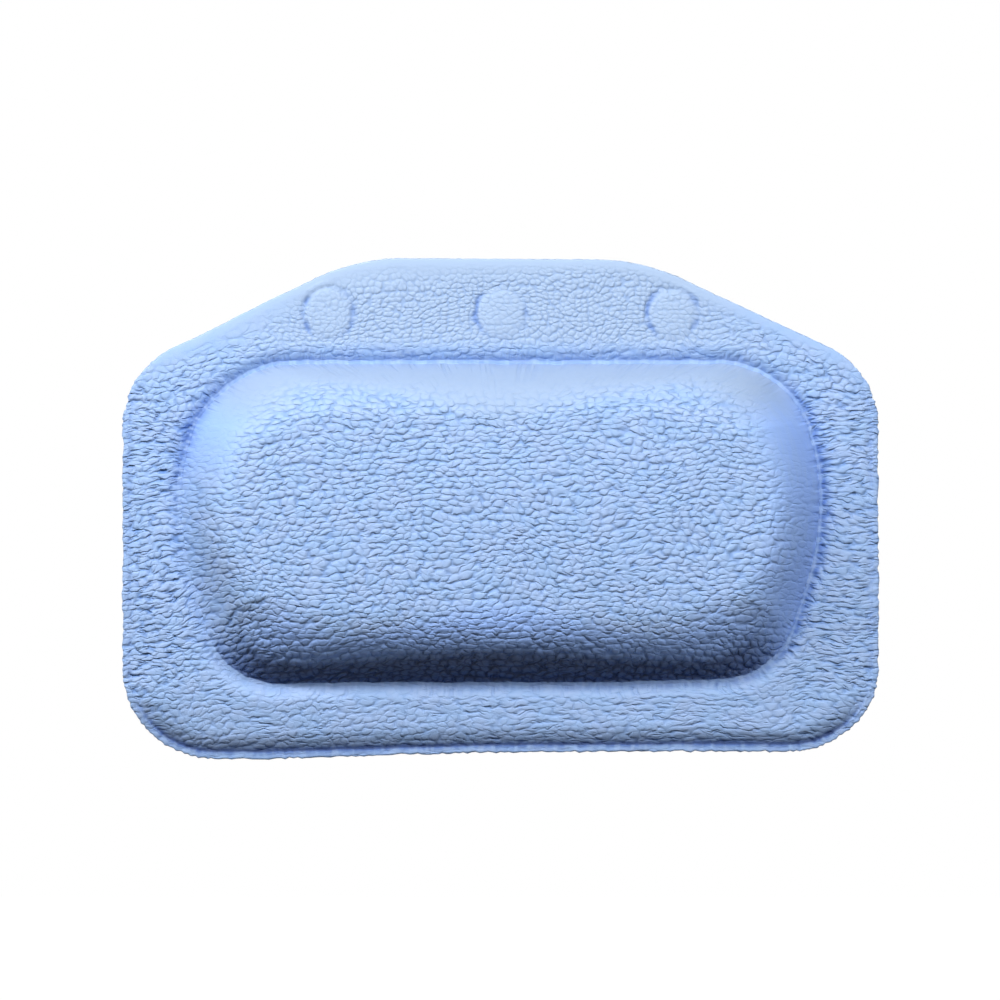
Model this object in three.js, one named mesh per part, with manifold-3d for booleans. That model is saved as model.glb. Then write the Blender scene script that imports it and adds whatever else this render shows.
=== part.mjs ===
// Bath pillow: two foamed PVC sheets welded round a foam core, with three suction cups held in the
// flap above the cushion. Millimetres. The pillow hangs upright on the wall of a bath: +Z is up, the
// head rests on the side that faces -Y, and the cups stick to the wall at Y = 0.
// The pieces are shaped lying flat, with x across, y up the sheet and z out of it towards the head,
// and z = 0 where the two sheets meet. They are stood up and set off the wall at the end.
import * as THREE from 'three';
import { mergeVertices } from 'three/addons/utils/BufferGeometryUtils.js';
import Module from 'manifold-3d';

const wasm = await Module();
wasm.setup();

// Outline of the sheets. A corner is where two straight edges would meet before it is rounded
const sheetWidth = 312;
const sheetHeight = 206;
const topEdgeWidth = 117;
const slopeDrop = 46;
const topCornerRadius = 87;
const sideCornerRadius = 37;
const bottomCornerRadius = 37.5;

// Outline of the cushion, measured in from the edges of the sheets
const flapHeight = 42.5;
const sideFlange = 19.7;
const bottomFlange = 30.5;
// Its widest corner lies this far down its side, and the other two draw in from it
const cushionWaistDrop = 61.5;
const cushionTopInset = 15.3;
const cushionBottomInset = 22.3;
const cushionTopRadius = 40;
const cushionWaistRadius = 105;
const cushionBottomRadius = 34;

// Form of the cushion: its rise at the middle, how much of that is crown, and how wide the round
// shoulder is along each edge
const cushionRise = 28;
const crownRise = 2.5;
const topShoulder = 26;
const sideShoulder = 28;
const bottomShoulder = 35;
// How round the flat middle is: 0 for square corners, 1 for an oval
const middleRoundShare = 0.45;
// Powers of the shoulder's curve at the top, the sides and the bottom: how full it is, and how
// softly it leaves its foot
const fullnessPowers = [2.6, 2.2, 2.7];
const footPowers = [1, 1.15, 1.2];

// Front sheet, which is foamed PVC pressed thin along each weld. From a weld it swells to its full
// thickness over the width of a roll
const coverWall = 3;
const flangeThickness = 4;
const weldThickness = 0.9;
const lipWidth = 3;
const lipThickness = 1.8;
const edgeWeldWidth = 1.4;
const grooveWidth = 1.6;
const edgeRoll = 6;
const grooveRoll = 5.5;
const rollShare = 0.35;
const rollRiseShare = 0.7;

// Back sheet, and the weld lines pressed into its rear face
const backThickness = 2;
const backWeldDepth = 0.7;
const backWeldFlank = 0.8;

// Foam core
const coreClearance = 0.3;

// Cup stations in the flap: the row lies below the top edge, and the outer two lie in from the slopes
const cupRowDrop = 22.7;
const stationMargin = 15.3;
const weldRingRadius = 10.5;
const weldRingWidth = 1;
const weldRingFlank = 0.7;
const weldRingThickness = 2;
const stationSkin = 1.2;
const stationEdgeRise = 0.2;

// Retaining washer of each cup
const washerRadius = 8.2;
const washerThickness = 1;
const washerChamfer = 0.3;
const pocketClearance = 0.3;

// Suction cup, whose mushroom head is pushed through the back sheet and the washer
const cupRadius = 14;
const cupStandoff = 10;
const cavityDepth = 6;
const cupLipWidth = 1.2;
const cupLipThickness = 0.8;
const collarRadius = 5;
const collarHeight = 1.3;
const neckRadius = 3.4;
const neckClearance = 0.4;
const headRadius = 5.6;
const headThickness = 1.8;
const headRimHeight = 0.6;
const headTopRadius = 3.2;
const swivelGap = 0.3;
// The bell's outer side bends at this share of its radius and of its height
const bellBendShares = [0.85, 0.87];

// Overrun of every cut past the face it opens
const overrun = 1;

// Fineness of the solids
const acrossCells = 14;
const downCells = 8;
const columns = 2 * (acrossCells + downCells);
const climbShares = [0.22, 0.46, 0.72];
// A normal that points up or down by less than the first value belongs to a side, and one that
// does by more than the second to the top or the bottom
const leaningShares = [0.3, 0.9];
const stationSides = 16;
const washerSides = 24;
const cupSides = 28;
const bellSteps = 5;
// A bend gets as many extra points for each radian of turn as this length of straight edge
const bendLength = 60;

// Places worked out from the sizes above. y = 0 is the row of cups
const topY = cupRowDrop;
const bottomY = topY - sheetHeight;
const slopeRun = (sheetWidth - topEdgeWidth) / 2;
const slopeLength = Math.hypot(slopeRun, slopeDrop);
const outerCupX = topEdgeWidth / 2 + (slopeRun * cupRowDrop - stationMargin * slopeLength) / slopeDrop;
const cushionTopY = topY - flapHeight;
const cushionBottomY = bottomY + bottomFlange;
const cushionMiddleY = (cushionTopY + cushionBottomY) / 2;
const waistX = sheetWidth / 2 - sideFlange;
const plateauZ = cushionRise - crownRise;
const wallZ = -(backThickness + cupStandoff);
const neckHoleRadius = neckRadius + neckClearance;
const headBaseZ = washerThickness + swivelGap;
const pocketDepth = headBaseZ + headThickness + swivelGap;
const pocketRadius = washerRadius + pocketClearance;

const sheetCorners = [
  [topEdgeWidth / 2, topY, topCornerRadius],
  [sheetWidth / 2, topY - slopeDrop, sideCornerRadius],
  [sheetWidth / 2, bottomY, bottomCornerRadius],
];
const cushionCorners = [
  [waistX - cushionTopInset, cushionTopY, cushionTopRadius],
  [waistX, cushionTopY - cushionWaistDrop, cushionWaistRadius],
  [waistX - cushionBottomInset, cushionBottomY, cushionBottomRadius],
];
const stations = { left: -outerCupX, middle: 0, right: outerCupX };

// A straight piece of a loop. `at` gives the point and the outward normal at a share of its length.
function straight(from, to) {
  const way = to.clone().sub(from);
  const n = new THREE.Vector2(-way.y, way.x).normalize();
  return { weight: way.length(), at: (share) => ({ p: from.clone().lerp(to, share), n }) };
}

// A round piece, which turns clockwise about its centre from the direction of a normal.
function bend(centre, normal, radius, turn) {
  return {
    weight: (radius + bendLength) * turn,
    at(share) {
      const n = normal.clone().rotateAround(new THREE.Vector2(), -turn * share);
      return { p: centre.clone().addScaledVector(n, radius), n };
    },
  };
}

// The pieces of a closed loop that is alike on both sides of x = 0, clockwise from the middle of
// its top edge. Each corner of the right half is given as x, y and radius.
function loopPieces(corners) {
  const left = corners.map(([x, y, radius]) => [-x, y, radius]).reverse();
  const all = [...corners, ...left];
  const spots = all.map(([x, y]) => new THREE.Vector2(x, y));
  const start = new THREE.Vector2(0, corners[0][1]);
  const pieces = [];
  let from = start;
  spots.forEach((spot, i) => {
    const radius = all[i][2];
    const before = spots[(i + spots.length - 1) % spots.length];
    const after = spots[(i + 1) % spots.length];
    const way = spot.clone().sub(before).normalize();
    const next = after.clone().sub(spot).normalize();
    const normal = new THREE.Vector2(-way.y, way.x);
    const turn = Math.acos(way.dot(next));
    const reach = radius * Math.tan(turn / 2);
    const tangent = spot.clone().addScaledVector(way, -reach);
    pieces.push(straight(from, tangent));
    pieces.push(bend(tangent.clone().addScaledVector(normal, -radius), normal, radius, turn));
    from = spot.clone().addScaledVector(next, reach);
  });
  pieces.push(straight(from, start));
  return pieces;
}

function placeOn(pieces, weight) {
  let left = weight;
  for (const piece of pieces) {
    if (left <= piece.weight) return piece.at(left / piece.weight);
    left -= piece.weight;
  }
  throw new Error('the place lies past the end of the loop');
}

// The loop's points and outward normals, one for each column, closer together on the bends.
function sampleLoop(corners) {
  const pieces = loopPieces(corners);
  const total = pieces.reduce((sum, piece) => sum + piece.weight, 0);
  return Array.from({ length: columns }, (_, k) => placeOn(pieces, (k / columns) * total));
}

const sheetLoop = sampleLoop(sheetCorners);
const cushionLoop = sampleLoop(cushionCorners);

// A ring of points at height z, parallel to a loop and `out` outside it.
function parallel(loop, out, z) {
  return loop.map(({ p, n }) => new THREE.Vector3(p.x + n.x * out, p.y + n.y * out, z));
}

// Extra height of the crown at a place on the cushion.
function crownAt(x, y) {
  const across = x / waistX;
  const up = (y - cushionMiddleY) / (cushionTopY - cushionMiddleY);
  return crownRise * (1 - across * across) * (1 - up * up);
}

// What is left of the field's half size at a share of the way out along its other half.
function drawnIn(share) {
  return Math.sqrt(1 - (middleRoundShare * share * share) / 2);
}

// The gently crowned field in the middle of the cushion: rows of points from its top edge down.
function middleField(height) {
  const halfWidth = waistX - sideShoulder;
  const top = cushionTopY - topShoulder;
  const bottom = cushionBottomY + bottomShoulder;
  return Array.from({ length: downCells + 1 }, (_, j) =>
    Array.from({ length: acrossCells + 1 }, (_, i) => {
      const across = (2 * i) / acrossCells - 1;
      const up = 1 - (2 * j) / downCells;
      const x = halfWidth * across * drawnIn(up);
      const y = (top + bottom) / 2 + ((top - bottom) / 2) * up * drawnIn(across);
      return new THREE.Vector3(x, y, height + crownAt(x, y));
    }),
  );
}

// The rim of a field, clockwise from the middle of its top edge, in step with the loops.
function rimOf(field) {
  const rim = [
    ...field[0].slice(0, acrossCells),
    ...field.slice(0, downCells).map((row) => row[acrossCells]),
    ...field[downCells].slice(1).reverse(),
    ...field.slice(1).reverse().map((row) => row[0]),
  ];
  const half = acrossCells / 2;
  return [...rim.slice(half), ...rim.slice(0, half)];
}

// The value that holds where a loop has this normal, of one for the top, the sides and the bottom.
function bySide(normal, [top, side, bottom]) {
  const upper = THREE.MathUtils.smoothstep(normal.y, ...leaningShares);
  const lower = THREE.MathUtils.smoothstep(-normal.y, ...leaningShares);
  return top * upper + side * (1 - upper - lower) + bottom * lower;
}

// Height of the round shoulder, as a share of its rise, at a share of its width from the foot.
function shoulderHeight(share, normal) {
  const fullness = bySide(normal, fullnessPowers);
  return 1 - (1 - share ** bySide(normal, footPowers)) ** fullness;
}

// The rings that climb the round side of the cushion: from a foot that lies inside the cushion's
// loop by an inset, up to the rim of the middle field at a height.
function climb(inset, footZ, height) {
  const foot = parallel(cushionLoop, -inset, footZ);
  const rim = rimOf(middleField(height));
  const between = climbShares.map((share) =>
    foot.map((low, k) => {
      const place = low.clone().lerp(rim[k], share);
      place.z = THREE.MathUtils.lerp(footZ, rim[k].z, shoulderHeight(share, cushionLoop[k].n));
      return place;
    }),
  );
  return [foot, ...between, rim];
}

// The middle of the cushion's face at a height.
function middleAt(z) {
  return new THREE.Vector3(0, cushionMiddleY, z);
}

// Two triangles that fill a four-sided face, split along its shorter diagonal.
function quadPoints(a, b, c, d) {
  return a.distanceTo(c) < b.distanceTo(d) ? [a, b, c, a, c, d] : [a, b, d, b, c, d];
}

// Closes a stack of rings into one skin. A fan to a point closes its last ring, and a fan or a
// field of points its first.
function skin(rings, firstCap, lastPoint) {
  const points = [];
  const quad = (...corners) => points.push(...quadPoints(...corners));
  const hasField = Array.isArray(firstCap);
  for (let j = 0; hasField && j < downCells; j++) {
    for (let i = 0; i < acrossCells; i++) {
      quad(firstCap[j + 1][i], firstCap[j + 1][i + 1], firstCap[j][i + 1], firstCap[j][i]);
    }
  }
  const last = rings[rings.length - 1];
  for (let k = 0; k < columns; k++) {
    const next = (k + 1) % columns;
    if (!hasField) points.push(firstCap, rings[0][next], rings[0][k]);
    for (let r = 0; r + 1 < rings.length; r++) {
      quad(rings[r][k], rings[r][next], rings[r + 1][next], rings[r + 1][k]);
    }
    points.push(last[k], last[next], lastPoint);
  }
  return new THREE.BufferGeometry().setFromPoints(points);
}

// A profile of radius and height turned about the z axis.
function turned(profile, sides) {
  const points = profile.map(([radius, z]) => new THREE.Vector2(radius, z));
  return new THREE.LatheGeometry(points, sides).rotateX(Math.PI / 2);
}

function disc(radius, low, high) {
  return turned([[0, low], [radius, low], [radius, high], [0, high]], stationSides);
}

// A closed geometry as a solid for cuts and joins, and back.
function solidOf(geometry) {
  const bare = geometry.clone();
  bare.deleteAttribute('normal');
  bare.deleteAttribute('uv');
  const merged = mergeVertices(bare);
  return new wasm.Manifold(
    new wasm.Mesh({
      numProp: 3,
      vertProperties: merged.attributes.position.array,
      triVerts: new Uint32Array(merged.index.array),
    }),
  );
}

function geometryOf(solid) {
  const mesh = solid.getMesh();
  const geometry = new THREE.BufferGeometry();
  geometry.setAttribute('position', new THREE.BufferAttribute(mesh.vertProperties, 3));
  geometry.setIndex(new THREE.BufferAttribute(mesh.triVerts, 1));
  return geometry;
}

// The ring-shaped cut of the weld round a station, from its floor out to a mouth above or below.
function weldRing(floor, mouth) {
  const inner = weldRingRadius - weldRingWidth / 2;
  const outer = weldRingRadius + weldRingWidth / 2;
  const profile = [
    [inner, floor],
    [outer, floor],
    [outer + weldRingFlank, mouth],
    [inner - weldRingFlank, mouth],
    [inner, floor],
  ];
  return turned(mouth > floor ? profile : profile.reverse(), stationSides);
}

// The raised disc on the flap over each cup's head.
function stationDisc() {
  const edge = weldRingRadius - weldRingWidth / 2;
  const top = pocketDepth + stationSkin;
  const base = weldRingThickness;
  const edgeTop = flangeThickness + stationEdgeRise;
  return turned([[0, base], [edge, base], [edge, edgeTop], [0, top]], stationSides);
}

// The textured front sheet, formed over the cushion in one piece with its flange and its flap.
function frontCover() {
  const footInset = grooveWidth / 2;
  const mouthInset = footInset + coverWall;
  const rolled = THREE.MathUtils.lerp(weldThickness, flangeThickness, rollRiseShare);
  const edgeWeld = -lipWidth - edgeWeldWidth;
  const rings = [
    ...climb(footInset, weldThickness, plateauZ).reverse(),
    parallel(cushionLoop, footInset, weldThickness),
    parallel(cushionLoop, footInset + grooveRoll * rollShare, rolled),
    parallel(cushionLoop, footInset + grooveRoll, flangeThickness),
    parallel(sheetLoop, edgeWeld - edgeRoll, flangeThickness),
    parallel(sheetLoop, edgeWeld, weldThickness),
    parallel(sheetLoop, -lipWidth, lipThickness),
    parallel(sheetLoop, 0, lipThickness),
    parallel(sheetLoop, 0, 0),
    ...climb(mouthInset, 0, plateauZ - coverWall),
  ];
  let cover = solidOf(skin(rings, middleField(plateauZ), middleAt(cushionRise - coverWall)));
  for (const x of Object.values(stations)) {
    const raised = solidOf(stationDisc()).translate([x, 0, 0]);
    const pocket = solidOf(disc(pocketRadius, -overrun, pocketDepth)).translate([x, 0, 0]);
    const ring = solidOf(weldRing(weldRingThickness, flangeThickness + overrun)).translate([x, 0, 0]);
    cover = cover.add(raised).subtract(pocket).subtract(ring);
  }
  return geometryOf(cover);
}

// Rings of a weld line pressed into the rear face of the back sheet, from its outer side inwards.
function backWeld(loop, middle, width) {
  const rear = -backThickness;
  const floor = rear + backWeldDepth;
  return [
    parallel(loop, middle + width / 2 + backWeldFlank, rear),
    parallel(loop, middle + width / 2, floor),
    parallel(loop, middle - width / 2, floor),
    parallel(loop, middle - width / 2 - backWeldFlank, rear),
  ];
}

// The flat back sheet, with a hole for the neck of each cup.
function backCover() {
  const rear = -backThickness;
  const rings = [
    parallel(sheetLoop, 0, 0),
    parallel(sheetLoop, 0, rear),
    ...backWeld(sheetLoop, -lipWidth - edgeWeldWidth / 2, edgeWeldWidth),
    ...backWeld(cushionLoop, 0, grooveWidth),
  ];
  let cover = solidOf(skin(rings, middleAt(0), middleAt(rear)));
  for (const x of Object.values(stations)) {
    const hole = solidOf(disc(neckHoleRadius, rear - overrun, overrun)).translate([x, 0, 0]);
    const ring = solidOf(weldRing(rear + backWeldDepth, rear - overrun)).translate([x, 0, 0]);
    cover = cover.subtract(hole).subtract(ring);
  }
  return geometryOf(cover);
}

// The foam block that fills the cushion and rests on the back sheet.
function foamCore() {
  const inset = grooveWidth / 2 + coverWall + coreClearance;
  const lift = coverWall + coreClearance;
  return skin(climb(inset, 0, plateauZ - lift).reverse(), middleAt(cushionRise - lift), middleAt(0));
}

// The stiff washer between the sheets that keeps the head from pulling through.
function retainingWasher() {
  const top = washerThickness;
  const profile = [
    [neckHoleRadius, 0],
    [washerRadius, 0],
    [washerRadius, top - washerChamfer],
    [washerRadius - washerChamfer, top],
    [neckHoleRadius, top],
    [neckHoleRadius, 0],
  ];
  return turned(profile, washerSides);
}

// The moulded cup: its hollow, thin lip, bell, collar, neck and mushroom head in one profile.
function suctionCup() {
  const collarTop = -backThickness - swivelGap;
  const bellTop = collarTop - collarHeight;
  const lipTop = wallZ + cupLipThickness;
  const headTop = headBaseZ + headThickness;
  const hollow = Array.from({ length: bellSteps }, (_, i) => {
    const turn = (i / bellSteps) * (Math.PI / 2);
    return [(cupRadius - cupLipWidth) * Math.sin(turn), wallZ + cavityDepth * Math.cos(turn)];
  });
  const [outShare, upShare] = bellBendShares;
  const bell = new THREE.QuadraticBezierCurve(
    new THREE.Vector2(cupRadius, lipTop),
    new THREE.Vector2(cupRadius * outShare, THREE.MathUtils.lerp(lipTop, bellTop, upShare)),
    new THREE.Vector2(collarRadius, bellTop),
  );
  const profile = [
    ...hollow,
    [cupRadius - cupLipWidth, wallZ],
    [cupRadius, wallZ],
    ...bell.getPoints(bellSteps).map((point) => point.toArray()),
    [collarRadius, collarTop],
    [neckRadius, collarTop],
    [neckRadius, headBaseZ],
    [headRadius, headBaseZ],
    [headRadius, headBaseZ + headRimHeight],
    [headTopRadius, headTop],
    [0, headTop],
  ];
  return turned(profile, cupSides);
}

const frontVinyl = new THREE.MeshStandardMaterial({ color: 0x9ebce7, roughness: 0.55, metalness: 0 });
const backVinyl = new THREE.MeshStandardMaterial({ color: 0x94b3e0, roughness: 0.4, metalness: 0 });
const foam = new THREE.MeshStandardMaterial({ color: 0xf2efe4, roughness: 0.95, metalness: 0 });
const stiffVinyl = new THREE.MeshStandardMaterial({ color: 0xe4ebf5, roughness: 0.45, metalness: 0 });
const clearVinyl = new THREE.MeshStandardMaterial({
  color: 0xdce8f2,
  roughness: 0.15,
  metalness: 0,
  transparent: true,
  opacity: 0.5,
});

// From the flat shape to the hanging one: y turns up to Z, and z turns forwards to -Y.
const upright = new THREE.Matrix4().makeBasis(
  new THREE.Vector3(1, 0, 0),
  new THREE.Vector3(0, 0, 1),
  new THREE.Vector3(0, -1, 0),
);

function piece(name, geometry, material) {
  const mesh = new THREE.Mesh(geometry.applyMatrix4(upright), material);
  mesh.name = name;
  return mesh;
}

const pillow = new THREE.Group();
pillow.position.y = wallZ;
pillow.add(piece('front_cover', frontCover(), frontVinyl));
pillow.add(piece('back_cover', backCover(), backVinyl));
pillow.add(piece('foam_core', foamCore(), foam));
for (const [side, x] of Object.entries(stations)) {
  const station = new THREE.Group();
  station.position.x = x;
  station.add(piece('retaining_washer_' + side, retainingWasher(), stiffVinyl));
  station.add(piece('suction_cup_' + side, suctionCup(), clearVinyl));
  pillow.add(station);
}

export default pillow;
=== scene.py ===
"""Bath pillow: a foamed PVC cushion with a welded flange, held to a bath's wall by three suction cups.

Everything is in metres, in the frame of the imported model: X across, Z up, and the wall of the bath in
the plane Y = 0. The head rests on the side that faces -Y. Pieces are shaped lying flat first, with x
across, y up the sheet and z out of it towards the head, and z = 0 where the two sheets meet.
"""
import math

import bpy
import numpy as np
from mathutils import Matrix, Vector, noise


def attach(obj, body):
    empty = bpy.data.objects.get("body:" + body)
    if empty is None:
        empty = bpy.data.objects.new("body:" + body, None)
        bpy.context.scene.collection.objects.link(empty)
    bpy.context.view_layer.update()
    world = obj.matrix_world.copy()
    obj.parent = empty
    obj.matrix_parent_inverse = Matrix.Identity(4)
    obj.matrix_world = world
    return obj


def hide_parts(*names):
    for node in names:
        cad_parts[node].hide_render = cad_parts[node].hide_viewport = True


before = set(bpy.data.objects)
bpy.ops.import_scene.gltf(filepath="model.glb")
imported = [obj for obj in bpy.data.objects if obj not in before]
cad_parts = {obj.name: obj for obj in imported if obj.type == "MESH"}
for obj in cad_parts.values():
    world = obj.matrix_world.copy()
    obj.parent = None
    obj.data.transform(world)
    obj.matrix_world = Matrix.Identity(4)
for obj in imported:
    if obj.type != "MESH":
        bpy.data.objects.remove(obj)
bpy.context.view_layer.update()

# Outline of the sheets. A corner is where two straight edges would meet before it is rounded
SHEET_WIDTH = 0.312
SHEET_HEIGHT = 0.206
TOP_EDGE_WIDTH = 0.117
SLOPE_DROP = 0.046
TOP_CORNER_RADIUS = 0.087
SIDE_CORNER_RADIUS = 0.037
BOTTOM_CORNER_RADIUS = 0.0375

# Outline of the cushion, measured in from the edges of the sheets
FLAP_HEIGHT = 0.0425
SIDE_FLANGE = 0.0197
BOTTOM_FLANGE = 0.0305
CUSHION_WAIST_DROP = 0.0615
CUSHION_TOP_INSET = 0.0153
CUSHION_BOTTOM_INSET = 0.0223
CUSHION_TOP_RADIUS = 0.04
CUSHION_WAIST_RADIUS = 0.105
CUSHION_BOTTOM_RADIUS = 0.034

# Form of the cushion: its rise, how much of that is crown, and the width of its round shoulder
CUSHION_RISE = 0.028
CROWN_RISE = 0.0025
TOP_SHOULDER = 0.026
SIDE_SHOULDER = 0.028
BOTTOM_SHOULDER = 0.035
# How round the flat middle is: 0 for square corners, 1 for an oval
MIDDLE_ROUND_SHARE = 0.45
# Powers of the shoulder's curve at the top, sides and bottom: how full, and how soft at its foot
SHOULDER_FULLNESS = (2.6, 2.2, 2.7)
SHOULDER_FOOT = (1.0, 1.15, 1.2)

# Front sheet, pressed thin along each weld
COVER_WALL = 0.003
FLANGE_THICKNESS = 0.004
WELD_THICKNESS = 0.0009
EDGE_THICKNESS = 0.0034
EDGE_ROUND = 0.0006
EDGE_SOFTNESS = 0.004
LIP_WIDTH = 0.0028
LIP_THICKNESS = 0.0018
EDGE_WELD_WIDTH = 0.001
WELD_FLANK = 0.0004
EDGE_ROLL = 0.0085
SEAM_WIDTH = 0.0012
SEAM_ROLL = 0.0065
ROLL_POWER = 2.0
# How deep the weld round the edge shows at the top, at the sides and at the bottom
EDGE_WELD_SHARES = (0.0, 0.25, 1.0)
# How uneven the cut edge is at the top, at the sides and at the bottom
EDGE_JAG_SHARES = (0.4, 1.1, 1.1)
# How far the seam at the lower left is filled by foam, and how much softer that makes its foot
FILLED_SHARE = 0.6
FILLED_SOFTNESS = 0.35

# Back sheet and foam
BACK_THICKNESS = 0.002
BACK_WELD_DEPTH = 0.0007
BACK_WELD_HALF_WIDTH = 0.0011
BACK_EDGE_SHARES = (0.8, 0.8, 1.0)
BACK_BULGE = 0.0008
BACK_BULGE_RUN = 0.03
BACK_SWELL_SHARE = 0.3
CORE_CLEARANCE = 0.0003

# Cup stations in the flap
CUP_ROW_DROP = 0.0227
STATION_MARGIN = 0.0153
RING_RADIUS = 0.0105
RING_HALF_WIDTH = 0.001
RING_DEPTH = 0.0005
DISC_RISE = 0.0004
RING_PITCH = 0.0012
SNAP_SHARE = 0.85

# Suction cup
CUP_RADIUS = 0.014
CUP_STANDOFF = 0.01
CAVITY_DEPTH = 0.006
CUP_LIP_WIDTH = 0.0012
CUP_LIP_THICKNESS = 0.0008
COLLAR_RADIUS = 0.005
COLLAR_HEIGHT = 0.0013
NECK_RADIUS = 0.0034
NECK_CLEARANCE = 0.0004
HEAD_RADIUS = 0.0056
HEAD_THICKNESS = 0.0018
HEAD_RIM_HEIGHT = 0.0006
HEAD_TOP_RADIUS = 0.0032
SWIVEL_GAP = 0.0003
WASHER_THICKNESS = 0.001
BELL_BEND_SHARES = (0.85, 0.87)
CUP_ROUNDING = 0.00025

# Fineness of the meshes: cells across and down the middle field, rings round it, and steps of a cup
FINE_CELLS = (288, 92)
COARSE_CELLS = (72, 23)
FLANGE_RINGS = 30
SHOULDER_RINGS = 30
INNER_SHOULDER_RINGS = 14
FOAM_SHOULDER_RINGS = 16
BACK_RINGS = 13
FLAT_RINGS = 12
FOAM_BASE_RINGS = 6
EDGE_SHARES = (0, 0.03, 0.1, 0.2, 0.35, 0.55, 0.78, 0.92, 1.0, 1.08, 1.2, 1.3, 1.42, 1.6)
SEAM_SHARES = (5.5, 4.4, 3.5, 2.7, 2, 1.5, 1.05, 0.7, 0.35, 0, -0.35, -0.7, -1.1)
BEND_LENGTH = 0.06
RING_CROWDING = 1.45
CUP_SIDES = 96
CUP_STEPS = 24
CORNER_STEPS = 4

# Unevenness from foaming, cutting and welding: the depth, size and seed of each layer of noise
SWELLS = [(0.00022, 0.013, 2.4), (0.00035, 0.034, 7.7)]
CRIMPS = [(0.0004, 0.0024, 3.3), (0.0003, 0.008, 6.1)]
JAGS = [(0.0007, 0.0016, 5.2), (0.0003, 0.017, 9.1)]
CRIMP_REACH = 0.003
JAG_REACH = 0.004

# Leanings of the sheets: how far an edge moves, and the two x between which it does
TOP_EDGE_LEAN = 0.0008
BOTTOM_EDGE_LIFTS = (0.0025, -0.0004)
BOTTOM_EDGE_TURN = (0.02, -0.11)
CORNER_CURL = 0.003
CORNER_CURL_TURN = (0.05, -0.15)
# Where the cushion's seam strays from its line: x, y, how far aside, how far up, and the reach of it
SEAM_STRAYS = [
    (-0.108, -0.145, -0.0012, -0.0013, 0.028),
    (-0.114, -0.029, 0.0014, -0.0018, 0.022),
    (0.087, -0.151, 0.0, 0.0012, 0.028),
]

# Turns of a loop from one side to the next, as shares of a full turn of its outward normal
SIDE_TURN_SHARES = (0.3, 0.9)
BELOW_TURN_SHARES = (0.3, 1.0)
RIGHT_TURN_SHARES = (-0.9, 0.6)

# Where a look of the front sheet begins and where it is full. First by x or y on the sheet
UPPER_TURN = (-0.09, -0.045)
BARE_EDGE_TURN = (-0.03, 0.04)
FLAP_TURN = (0.125, 0.07)
# In from the sheet's edge
BARE_EDGE = 0.001
BARE_EDGE_LEFT = 0.014
BARE_EDGE_RIGHT = 0.008
LIP_BARE_RUN = 0.0016
LIP_TINT_RUN = 0.001
WELD_LINE_REACH = 0.0011
# Painted shade on the bottom flange where it rolls down towards the edge weld
ROLL_FOOT = (0.017, 0.005)
ROLL_FOOT_RUN = 0.0005
# Out from the cushion's seam, over the flange. Pairs that end in ENDS are for its left and right end
SEAM_BARE = 0.0015
SEAM_BARE_TOP = (0.001, 0.008)
SEAM_BARE_BOTTOM = (0.002, 0.009)
# Painted shadow on the bottom flange just below the cushion's seam
SEAM_DARK = 0.004
SEAM_LINE_ENDS = (0.0004, 0.0011)
SEAM_LINE_REACH_ENDS = (0.0026, 0.0015)
FLAP_GRAIN = (0.003, 0.01)
GATHERS_BEGIN = (0.0004, 0.0016)
GATHERS_STOP = (0.008, 0.003)
# From the cushion's seam up its wall
WALL_BARE_SIDE = (0.003, 0.026)
WALL_BARE_UPPER = (0.013, 0.03)
WALL_BARE_TOP = (0.009, 0.029)
WALL_STEEP_START = 0.003
WALL_STEEP_STOP = (0.028, 0.012)
# Painted shade on the cushion's lower wall, and a little on its upper wall
WALL_DARK_BOTTOM = (0.019, 0.01)
WALL_DARK_TOP = (0.028, 0.006)
WALL_GATHERS = (0.006, 0.001)
WALL_GATHERS_TOP = (0.034, 0.008)
# Painted reflected light: the cushion's side and lower walls turn a deeper blue, as if lit by light off the
# flange
WALL_BOUNCE_SIDE = (0.03, 0.01)
WALL_BOUNCE_BOTTOM = (0.042, 0.024)
# Painted sheen: the cushion's upper wall turns paler near its seam
WALL_SHEEN_TOP = (0.032, 0.012)
WALL_LINE_REACH_ENDS = (0.003, 0.0012)
# In and out from the line of a ring weld
RING_BARE_INSIDE = 0.002
RING_BARE_OUTSIDE = 0.001

# Grain of the front sheet: the width and height of its pebbles and rows, and its depth
PEBBLE = (0.0037, 0.0025)
WAVE = (0.0056, 0.0024)
FINE = (0.0024, 0.0019)
ROW = (0.006, 0.0031)
PEBBLE_SCATTER = 0.74
RING_LINE = 0.0019
GRAIN_DEPTH = 0.00079
# How much of it is in the mesh itself, and how much softer it is there
MESH_GRAIN_SHARE = 0.3
MESH_BLUR = 2.2
# Left of this x the lines across the sheet rise to the right, by the square of the way over a length
LEAN_START = 0.02
LEAN_LENGTH = 20 / 7
# How the grain's lines wander: the size of each bend and how far it reaches
SHEET_BENDS = [(0.04, 0.004)]
PEBBLE_BENDS = [(0.005, 0.0008), (0.0014, 0.0002)]
WAVE_BENDS = [(0.006, 0.0008), (0.0028, 0.0005)]
ROW_BENDS = [(0.0065, 0.0017), (0.003, 0.0008)]
RING_BENDS = [(0.005, 0.0009)]
BACK_BENDS = [(0.003, 0.0004)]
# Widths and heights of the patches in which a look is stronger or weaker, and of fine grain
DEPTH_PATCH = (0.0042, 0.0026)
WAVE_PATCH = (0.015, 0.011)
RING_PATCH = (0.006, 0.006)
GATHER_PATCH = (0.011, 0.009)
COLOUR_PATCH = (0.012, 0.009)
BACK_PATCH = (0.02, 0.014)
MICRO_GRAIN = (0.0006, 0.0005)
BACK_GRAIN = (0.0011, 0.0011)
BACK_RIPPLE = (0.006, 0.006)
# Width along the seam and length away from it
GATHER = (1 / 600, 0.0125)
BLOTCH = (1 / 420, 1 / 150)
STREAK = (1 / 60, 0.002)
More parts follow.
